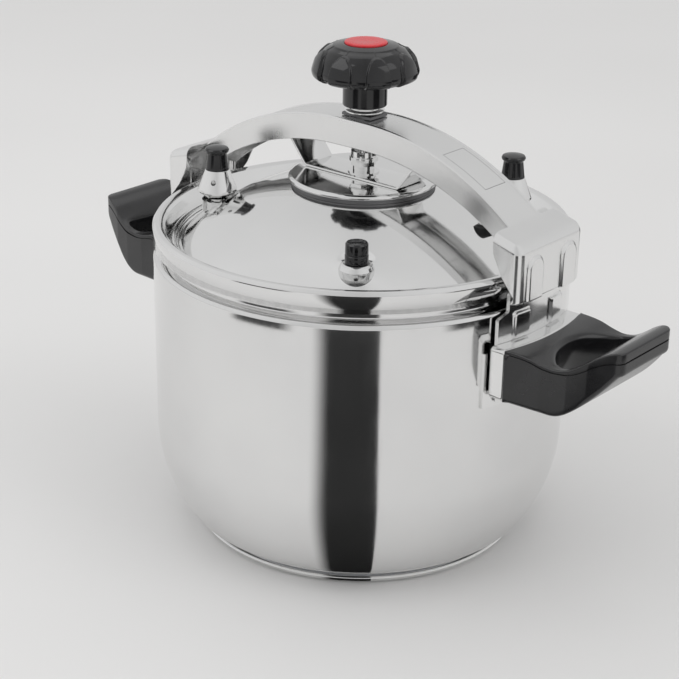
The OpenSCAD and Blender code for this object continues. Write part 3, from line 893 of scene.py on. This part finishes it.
seat_prof = fillet([(0, SEAT_Z), (39.5, SEAT_Z), (41.0, SEAT_Z - 0.5), (SEAT_WALL_R, SEAT_Z - 0.7),
                    (SEAT_WALL_R, SEAT_TOP - 2.9), (seat_r, SEAT_TOP - 2.6), (seat_r, SEAT_TOP - 1.0),
                    (seat_r - 1.8, SEAT_TOP - 0.1), (0, SEAT_TOP - 0.1)],
                   [0, 0.4, 0.2, 0.1, 0.1, 0.4, 1.0, 1.4, 0], 6)
seat = lathe("seat_plate", seat_prof, "lid", MIRROR, segs=256, replaces=("seat_disc",))
# The wall and lip underside below the seat's overhang take the dark steel as painted shade, where the
# overhang shades them; the metal is the same as the rest of the plate.
seat.data.materials.append(DARK)
for face in seat.data.polygons:
    c = face.center / MM
    if c.z < SEAT_TOP - 2.7 and math.hypot(c.x, c.y) > 40.0:
        face.material_index = 1

strap_box = box_mm("carrier_strap")
STRAP_X = strap_box[1][0]
STRAP_HALF = strap_box[1][1]
STRAP_Z0, STRAP_Z1 = strap_box[0][2], strap_box[1][2]
STRAP_T = 1.2


def strap_plate():
    """Bent strip: flat on the seat disc, legs rising outwards, tips turned up."""
    h = STRAP_T / 2
    mid = [(34.0, STRAP_Z0 + h), (STRAP_X - h, STRAP_Z1 - 3.2), (STRAP_X - h, STRAP_Z1)]
    right = fillet([(20.0, STRAP_Z0 + h)] + mid, [0, 2.6, 2.0, 0], 8)
    path = [(-x, z) for x, z in reversed(right)] + [(-8.0, STRAP_Z0 + h), (8.0, STRAP_Z0 + h)] + right
    sections = []
    for i, p in enumerate(path):
        a = path[max(i - 1, 0)]
        b = path[min(i + 1, len(path) - 1)]
        t = Vector((b[0] - a[0], b[1] - a[1])).normalized()
        n = Vector((-t.y, t.x))
        loop = []
        for y, d in fillet([(-STRAP_HALF, -h), (STRAP_HALF, -h), (STRAP_HALF, h), (-STRAP_HALF, h)],
                           0.3, 3, closed=True):
            loop.append((p[0] + n.x * d, y, p[1] + n.y * d))
        sections.append(loop)
    obj = loop_sweep("strap_plate", sections, None, MIRROR)
    obj.data.set_sharp_from_angle(angle=math.radians(40))
    finish_piece(obj, "lid", ("carrier_strap",))


strap_plate()

# ---------------------------------------------------------------- valves
CONE_R = radius_mm("weight_left")
PORT_Z = 11.0
PORT_R = 1.5
PORT_TURN = math.radians(-60.7)


def weight_cone(name, node, body, centre):
    z0 = box_mm(node)[0][2]
    z1 = box_mm(node)[1][2]
    prof = fillet([(3.2, z0), (6.5, z0), (11.2, z0 + 3.8), (CONE_R, z0 + 4.6), (CONE_R - 0.2, z0 + 5.6),
                   (7.05, z1), (0.0, z1)], [0, 0.5, 0.6, 0.4, 0.6, 0.4, 0], 5)
    prof = [(0.0, z0 + 12.0), (3.2, z0 + 12.0)] + prof
    obj = lathe(name, prof, None, MIRROR, centre=centre)
    zc = z0 + PORT_Z
    far = (centre[0] + 16.0 * math.cos(PORT_TURN), centre[1] + 16.0 * math.sin(PORT_TURN), zc)
    cut_round(obj, (centre[0], centre[1], zc), far, PORT_R)
    finish_piece(obj, body, (node,))


def weight_knob(name, node, body, centre):
    z0 = box_mm(node)[0][2]
    z1 = box_mm(node)[1][2]
    prof = fillet([(0, z0), (7.0, z0), (6.7, z0 + 1.2), (5.7, z1 - 4.2), (6.8, z1 - 3.1), (7.1, z1 - 2.0),
                   (6.4, z1 - 0.8), (0, z1)], [0, 0.3, 0.4, 0.6, 0.5, 0.6, 0.9, 0], 5)
    lathe(name, prof, body, BLACK, centre=centre, segs=96, replaces=(node,))


weight_cone("cone_left", "weight_left", "valve_left", left_c)
weight_cone("cone_right", "weight_right", "valve_right", right_c)
weight_knob("cone_knob_left", "weight_cap_left", "valve_left", left_c)
weight_knob("cone_knob_right", "weight_cap_right", "valve_right", right_c)

safe_box = box_mm("safety_valve_cap")
safe_r = radius_mm("safety_valve_cap")
sz0, sz1 = safe_box[0][2], safe_box[1][2]
safe_prof = fillet([(0, sz0), (safe_r - 0.4, sz0), (safe_r, sz0 + 0.5), (safe_r, sz0 + 4.6),
                    (safe_r - 0.35, sz0 + 4.9), (safe_r - 0.35, sz0 + 5.5), (safe_r - 0.1, sz0 + 5.8),
                    (safe_r - 0.25, sz1 - 0.8), (safe_r - 0.9, sz1), (safe_r - 1.9, sz1),
                    (safe_r - 2.3, sz1 - 0.5), (0, sz1 - 0.5)],
                   [0, 0.2, 0.3, 0.2, 0.15, 0.15, 0.2, 0.5, 0.3, 0.2, 0.2, 0], 4)
safety_cap = lathe("safety_cap", safe_prof, None, BLACK, centre=safe_c)
SAFE_PORT_Z = sz0 + 8.6
cut_round(safety_cap, (safe_c[0] + 2.0, safe_c[1] - 2.5, SAFE_PORT_Z),
          (safe_c[0] + 6.5, safe_c[1] - 8.5, SAFE_PORT_Z), 0.95, 24)
finish_piece(safety_cap, "lid", ("safety_valve_cap",))

flange_box = box_mm("safety_valve_body")
fl_r, fl_z0, fl_z1 = radius_mm("safety_valve_body"), flange_box[0][2], flange_box[1][2]
flange_prof = fillet([(3.1, fl_z0), (4.85, fl_z0), (4.85, fl_z1 - 7.4), (fl_r - 0.2, fl_z1 - 7.4),
                      (fl_r - 0.2, fl_z1 - 3.4), (fl_r - 1.2, fl_z1 - 1.2), (fl_r - 2.6, fl_z1 - 0.5),
                      (4.7, fl_z1 - 0.5), (3.1, fl_z1 - 0.5)],
                     [0, 0.2, 0.2, 0.2, 0.8, 0.8, 0.6, 0, 0], 5, closed=True)
lathe("safety_flange", flange_prof, "lid", BODY, centre=safe_c, segs=128,
      replaces=("safety_valve_body",), closed=True)

# ---------------------------------------------------------------- screw and knob
spin_box = box_mm("spindle")
SPIN_Z0, SPIN_Z1 = spin_box[0][2], spin_box[1][2]
SCREW_R = 4.5
PITCH = 3.0
thread_top = BEAM_TOP + 2.6
KNOB_Z = box_mm("knob")[1][2] - 21.0
KNOB_FOOT = box_mm("knob")[0][2]
knob_r = radius_mm("knob")


def spindle_mesh():
    """Round shaft with a helical thread between its foot and the knob washer."""
    segs_t, verts, faces, rings = 48, [], [], []
    z = SPIN_Z0
    levels = [(SPIN_Z0, SCREW_R - 0.3, False), (SPIN_Z0 + 0.4, SCREW_R, False)]
    steps = int((thread_top - SPIN_Z0 - 1.5) / (PITCH / 12))
    levels += [(SPIN_Z0 + 1.0 + k * PITCH / 12, SCREW_R, True) for k in range(steps)]
    top_r = 5.6
    levels += [(thread_top, SCREW_R, False), (thread_top + 0.4, top_r, False), (KNOB_Z - 9.2, top_r, False),
               (KNOB_Z - 9.0, top_r - 0.3, False), (KNOB_Z - 9.0, 4.0, False), (SPIN_Z1 - 0.6, 4.0, False),
               (SPIN_Z1, 3.4, False)]
    for z, r, threaded in levels:
        start = len(verts)
        for k in range(segs_t):
            a = TAU * k / segs_t
            rr = r
            if threaded:
                phase = ((z - SPIN_Z0) / PITCH - k / segs_t) % 1.0
                rr = r - 0.75 * smooth01(0.12, 0.5, abs(phase - 0.5) * 2.0)
            verts.append((rr * math.cos(a), rr * math.sin(a), z))
        rings.append(start)
    for a, b in zip(rings, rings[1:]):
        for k in range(segs_t):
            m = (k + 1) % segs_t
            faces.append((a + k, a + m, b + m, b + k))
    faces.append(tuple(reversed(range(segs_t))))
    faces.append(tuple(range(rings[-1], rings[-1] + segs_t)))
    obj = add_piece("spindle_thread", verts, faces, None, MIRROR)
    obj.data.set_sharp_from_angle(angle=math.radians(55))
    finish_piece(obj, "screw", ("spindle",))


spindle_mesh()
washer_r = radius_mm("knob_washer")
wz0, wz1 = box_mm("knob_washer")[0][2], box_mm("knob_washer")[1][2]
washer_prof = fillet([(5.7, wz0), (washer_r, wz0), (washer_r, wz0 + 1.0), (7.6, wz0 + 1.0), (7.6, wz1),
                      (5.7, wz1)], 0.3, 4, closed=True)
lathe("washer_plate", washer_prof, "screw", MIRROR, replaces=("knob_washer",),
      closed=True)

plate_z0, plate_z1 = box_mm("block_collar")[0][2], box_mm("block_collar")[1][2]
BLOCK_X, BLOCK_Y, BLOCK_HOLE = 10.5, 7.8, 6.3


def block_plate():
    """Dark plate round the screw on the beam top, with its collar down through the beam; its dark colour is
    painted shade and reflection under the washer.
    """
    rings = []
    count = 96
    for r_kind, z in (("hole", plate_z0), ("collar", plate_z0), ("collar", BEAM_TOP), ("plate", BEAM_TOP),
                      ("plate", plate_z1 - 0.3), ("edge", plate_z1), ("hole", plate_z1)):
        ring = []
        for k in range(count):
            a = TAU * k / count
            ca, sa = math.cos(a), math.sin(a)
            box = min(BLOCK_X / max(abs(ca), 1e-6), BLOCK_Y / max(abs(sa), 1e-6))
            r = {"hole": BLOCK_HOLE, "collar": 9.3, "plate": box, "edge": box - 0.3}[r_kind]
            ring.append((r * ca, r * sa, z))
        rings.append(ring)
    # Dark steel here is painted shade and reflection under the washer, not the bush's own colour.
    obj = loop_sweep("block_plate", rings, None, DARK, ring=True)
    obj.data.set_sharp_from_angle(angle=math.radians(35))
    finish_piece(obj, "beam", ("block_collar",))


block_plate()

LOBES = 8
LOBE_W = 14.5
LOBE_TURN = math.radians(9.7)
LOBE_PROUD = 2.0


def knob_mesh():
    """Hand knob: arched lobes round a plain domed middle, on a round stem."""
    segs_k = 640
    prof = fillet([(0.0, KNOB_FOOT), (12.3, KNOB_FOOT), (12.6, KNOB_FOOT + 0.6), (12.6, KNOB_Z - 1.6),
                   (14.5, KNOB_Z), (knob_r - 4.2, KNOB_Z + 0.6), (knob_r - 0.8, KNOB_Z + 2.4),
                   (knob_r, KNOB_Z + 5.4), (knob_r - 2.2, KNOB_Z + 13.2), (knob_r - 6.2, KNOB_Z + 17.6),
                   (knob_r - 11.0, KNOB_Z + 19.9), (13.4, KNOB_Z + 20.8), (12.2, KNOB_Z + 20.9),
                   (12.1, KNOB_Z + 19.6), (0.0, KNOB_Z + 19.6)],
                  [0, 0.4, 0.4, 1.6, 1.4, 3, 3, 5, 9, 7, 5, 1.0, 0.3, 0.2, 0], 8)
    dense = []
    for p, q in zip(prof, prof[1:]):
        dense += between(p, q, max(1, int(math.dist(p, q) / 0.7)) if max(p[0], q[0]) > 12.5 else 1)
    dense.append(prof[-1])
    verts, rings = [], []
    for r, z in dense:
        if r < 1e-6:
            rings.append([len(verts)])
            verts.append((0.0, 0.0, z))
            continue
        start = len(verts)
        level = (z - KNOB_Z) / 21.0
        for k in range(segs_k):
            a = TAU * k / segs_k
            step = TAU / LOBES
            off = (a - LOBE_TURN + step / 2) % step - step / 2
            arch = math.sqrt(max(0.0, 1.0 - (max(level - 0.24, 0.0) / 0.60) ** 2))
            inside = smooth01(0.35, -0.35, abs(r * math.sin(off)) - arch * LOBE_W / 2)
            cut = LOBE_PROUD * (1.0 - inside) * smooth01(-0.02, 0.06, level) * smooth01(1.0, 0.90, level)
            rr = r - cut if r > 13.0 else r
            verts.append((rr * math.cos(a), rr * math.sin(a), z))
        rings.append(list(range(start, start + segs_k)))
    add_piece("knob_body", verts, ring_faces(rings), "screw", BLACK, ("knob",))


knob_mesh()
ins_z0, ins_z1 = box_mm("knob_insert")[0][2], box_mm("knob_insert")[1][2]
ins_r = radius_mm("knob_insert")
insert_prof = fillet([(0, ins_z0), (ins_r, ins_z0), (ins_r, ins_z1 - 0.5), (ins_r - 0.9, ins_z1 - 0.1),
                      (ins_r - 4.0, ins_z1), (0, ins_z1 - 0.25)], [0, 0.1, 0.5, 0.6, 3, 0], 5)
lathe("insert_disc", insert_prof, "screw", RED, segs=128, replaces=("knob_insert",))

# ---------------------------------------------------------------- remaining CAD parts keep their shape
SLOT_MATERIAL = {"polished_steel": MIRROR, "satin_steel": BODY, "aluminium_core": CORE,
                 "dark_steel": DARK, "black_phenolic": BLACK, "red_insert": RED,
                 "silicone_white": SEAL, "silicone_black": SEAL_DARK}
slots = {p["node"]: p["material_slot"] for p in frame["record"]["subparts"]}
for node, obj in frame["nodes"].items():
    obj.data.materials.clear()
    obj.data.materials.append(BODY if node in ("crown_collar", "pipe_nut_left", "pipe_nut_right")
                              else SLOT_MATERIAL[slots[node]])
    if not obj.hide_render and node not in ("sealing_gasket", "weld_pads"):
        edge = obj.modifiers.new("edge", "BEVEL")
        edge.width = 0.18 * MM
        edge.segments = 2
        edge.limit_method = "ANGLE"
        edge.angle_limit = math.radians(50)

# ---------------------------------------------------------------- floor, light, camera
def ground(name, size, n=24):
    """Flat floor, wide enough to fill the view."""
    ticks = [size * (2.0 * i / n - 1.0) for i in range(n + 1)]
    mesh = bpy.data.meshes.new(name)
    mesh.from_pydata([(x, y, 0.0) for x in ticks for y in ticks], [], grid_faces(n, n))
    return linked(name, mesh)


CAM_AZ = 0.68769
CAM_DIST = 940.634
CAM_HEIGHT = 506.321
CAM_YAW, CAM_PITCH, CAM_ROLL = -0.01318, 0.39924, 0.01401
CAM_FOCAL = 1716.135 / 679 * 36.0

floor = ground("studio_floor", 5.0)
floor_mat, nt, bsdf, coord = new_material("studio_floor")
cloud = noise(nt, coord, 1.5, 2.0)
floor_tint = tint(nt, span(nt, cloud, 0.0, 1.0), (0.78, 0.775, 0.77), (0.82, 0.815, 0.81))
nt.links.new(floor_tint, bsdf.inputs["Base Color"])
nt.links.new(span(nt, cloud, 0.5, 0.6), bsdf.inputs["Roughness"])
bsdf.inputs["Specular IOR Level"].default_value = 0.0
floor.data.materials.append(floor_mat)

fw = Vector((-math.sin(CAM_AZ), math.cos(CAM_AZ), 0.0))
up = Vector((0, 0, 1))
rt = fw.cross(up)
eye = -fw * CAM_DIST + up * CAM_HEIGHT
fw2 = fw * math.cos(CAM_YAW) + rt * math.sin(CAM_YAW)
rt2 = fw2.cross(up).normalized()
fw3 = fw2 * math.cos(CAM_PITCH) - up * math.sin(CAM_PITCH)
up3 = rt2.cross(fw3)
rt4 = rt2 * math.cos(CAM_ROLL) + up3 * math.sin(CAM_ROLL)
up4 = rt4.cross(fw3)
camera = bpy.data.cameras.new("camera")
camera.sensor_width = 36.0
camera.lens = CAM_FOCAL
camera.clip_start = 0.01
camera.dof.use_dof = False
cam = linked("camera", camera)
m3 = Matrix((rt4, up4, -fw3)).transposed()
cam.matrix_world = Matrix.Translation(eye * MM) @ m3.to_4x4()
bpy.context.scene.camera = cam


FLAG_R = 97.0
CARD_ROWS, CARD_COLS = 24, 48


def floor_card(name, place, fade_in, fade_out, dark, light):
    """Card just above the floor that only shows as a reflection; place(row, col) gives a point in mm."""
    verts, us = [], []
    for i in range(CARD_ROWS + 1):
        for k in range(CARD_COLS + 1):
            q = place(i / CARD_ROWS, k / CARD_COLS)
            verts.append((q.x * MM, q.y * MM, 0.5 * MM))
            us.append(k / CARD_COLS)
    mesh = bpy.data.meshes.new(name)
    mesh.from_pydata(verts, [], grid_faces(CARD_ROWS, CARD_COLS))
    uv = mesh.uv_layers.new(name="across")
    for loop in mesh.loops:
        uv.data[loop.index].uv = (us[loop.vertex_index], 0.0)
    obj = linked(name, mesh)
    mat, nt, bsdf, coord = new_material(name)
    cloud = noise(nt, coord, 6.0, 2.0)
    nt.links.new(tint(nt, span(nt, cloud, 0.0, 1.0), (dark,) * 3, (light,) * 3), bsdf.inputs["Base Color"])
    bsdf.inputs["Roughness"].default_value = 0.9
    split = nt.nodes.new("ShaderNodeSeparateXYZ")
    nt.links.new(coord.outputs["UV"], split.inputs[0])
    sides = []
    for start, end in ((0.0, fade_in), (1.0, 1.0 - fade_out)):
        soft = nt.nodes.new("ShaderNodeMapRange")
        soft.interpolation_type = "SMOOTHSTEP"
        soft.inputs["From Min"].default_value = start
        soft.inputs["From Max"].default_value = end
        nt.links.new(split.outputs[0], soft.inputs["Value"])
        sides.append(soft.outputs[0])
    both = nt.nodes.new("ShaderNodeMath")
    both.operation = "MULTIPLY"
    nt.links.new(sides[0], both.inputs[0])
    nt.links.new(sides[1], both.inputs[1])
    nt.links.new(both.outputs[0], bsdf.inputs["Alpha"])
    mesh.materials.append(mat)
    obj.visible_camera = False
    obj.visible_diffuse = False
    obj.visible_shadow = False
    obj.visible_transmission = False


def heading(degrees):
    """Level direction at an angle to the right of the camera side."""
    a = math.radians(degrees)
    return -fw * math.cos(a) + rt * math.sin(a)


def strip_place(left, right):
    """Strip that the wall between two headings reflects straight back to the camera side."""
    def place(row, col):
        a = left + (right - left) * col
        return heading(a) * FLAG_R + heading(2 * a) * 900.0 * row ** 1.5
    return place


def sector_place(left, right, near, far):
    def place(row, col):
        return heading(left + (right - left) * col) * (near + (far - near) * row)
    return place


floor_card("floor_flag", strip_place(-13.0, 5.1), 0.3, 0.01, 0.010, 0.018)
floor_card("card_right", sector_place(38.0, 82.0, 600.0, 2400.0), 0.25, 0.15, 0.02, 0.04)
floor_card("card_far_right", sector_place(118.0, 150.0, 600.0, 2400.0), 0.2, 0.3, 0.03, 0.05)
floor_card("card_left", sector_place(-68.0, -30.0, 600.0, 2400.0), 0.2, 0.3, 0.03, 0.05)


LIGHT_AIM = Vector((0.0, 0.0, 0.12))


def area(name, az, el, dist, size, power):
    """Soft box that looks at the cooker from a direction given relative to the camera side."""
    light = bpy.data.lights.new(name, "AREA")
    light.shape = "SQUARE"
    light.size = size
    light.energy = power
    obj = linked(name, light)
    base = math.atan2(-fw.y, -fw.x)
    a = base + math.radians(az)
    e = math.radians(el)
    toward = Vector((math.cos(a) * math.cos(e), math.sin(a) * math.cos(e), math.sin(e)))
    obj.location = toward * dist + LIGHT_AIM
    obj.rotation_euler = (-toward).to_track_quat("-Z", "Y").to_euler()
    return obj


lights = [area("soft_left", -70, 42, 2.2, 1.6, 9.0), area("soft_right", 62, 38, 2.2, 1.4, 5.0),
          area("soft_top", 180, 72, 2.4, 2.0, 7.0)]
lit = bpy.data.collections.new("lit_by_soft_boxes")
for obj in bpy.data.objects:
    if obj.type == "MESH" and any(m in (BLACK, GRIP, RED, floor_mat) for m in obj.data.materials):
        lit.objects.link(obj)
for light in lights:
    light.light_linking.receiver_collection = lit

world = bpy.data.worlds.new("studio")
bpy.context.scene.world = world
world.use_nodes = True
wt = world.node_tree
wt.nodes.clear()
w_out = wt.nodes.new("ShaderNodeOutputWorld")
w_bg = wt.nodes.new("ShaderNodeBackground")
w_coord = wt.nodes.new("ShaderNodeTexCoord")
w_map = wt.nodes.new("ShaderNodeMapping")
w_map.vector_type = "TEXTURE"
w_map.inputs["Rotation"].default_value = (0.0, 0.0, math.atan2(-fw.y, -fw.x))
w_split = wt.nodes.new("ShaderNodeSeparateXYZ")
w_angle = wt.nodes.new("ShaderNodeMath")
w_angle.operation = "ARCTAN2"
w_ramp = wt.nodes.new("ShaderNodeValToRGB")
wt.links.new(w_coord.outputs["Generated"], w_map.inputs[0])
wt.links.new(w_map.outputs[0], w_split.inputs[0])
wt.links.new(w_split.outputs[1], w_angle.inputs[0])
wt.links.new(w_split.outputs[0], w_angle.inputs[1])
w_span = wt.nodes.new("ShaderNodeMapRange")
w_span.inputs["From Min"].default_value = -math.pi
w_span.inputs["From Max"].default_value = math.pi
wt.links.new(w_angle.outputs[0], w_span.inputs["Value"])
wt.links.new(w_span.outputs[0], w_ramp.inputs[0])
BRIGHT = 0.80
bands = [(-180, 0.80), (-120, 0.95), (-60, 0.92), (-25, 0.80), (0, 0.72), (25, 0.86), (60, 0.92),
         (120, 0.85), (180, 0.80)]
ramp = w_ramp.color_ramp
while len(ramp.elements) < len(bands):
    ramp.elements.new(0.5)
for e, (deg, v) in zip(ramp.elements, bands):
    e.position = (deg + 180.0) / 360.0
    e.color = (v, v, v, 1.0)
wt.links.new(w_ramp.outputs[0], w_bg.inputs["Color"])
w_bg.inputs["Strength"].default_value = BRIGHT
wt.links.new(w_bg.outputs[0], w_out.inputs[0])

bpy.context.scene.view_settings.view_transform = "Standard"
